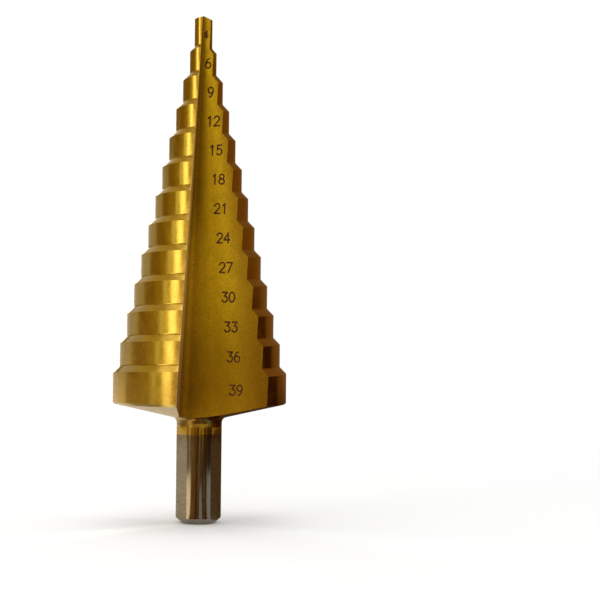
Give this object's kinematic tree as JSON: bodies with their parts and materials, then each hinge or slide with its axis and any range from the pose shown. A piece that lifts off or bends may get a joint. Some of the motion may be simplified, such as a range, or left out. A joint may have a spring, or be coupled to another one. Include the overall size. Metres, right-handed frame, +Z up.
{
  "type": "step drill",
  "caption": "Step drill ground in one piece: a stepped conical head with straight chip flutes and a flatted round shank, for opening holes in sheet metal.",
  "frame": {"origin": "centre of the shank's end face, on which the drill stands", "axes": "+Z up the drill's axis to the point; the number face of the front flute looks towards -Y"},
  "size_m": [0.0384, 0.038, 0.1128],
  "materials": {
    "coated_tool_steel": "gold nitride coating on the head, bare ground steel on the shank"
  },
  "bodies": {
    "root": {"step_drill": "coated_tool_steel"}
  },
  "joints": []
}
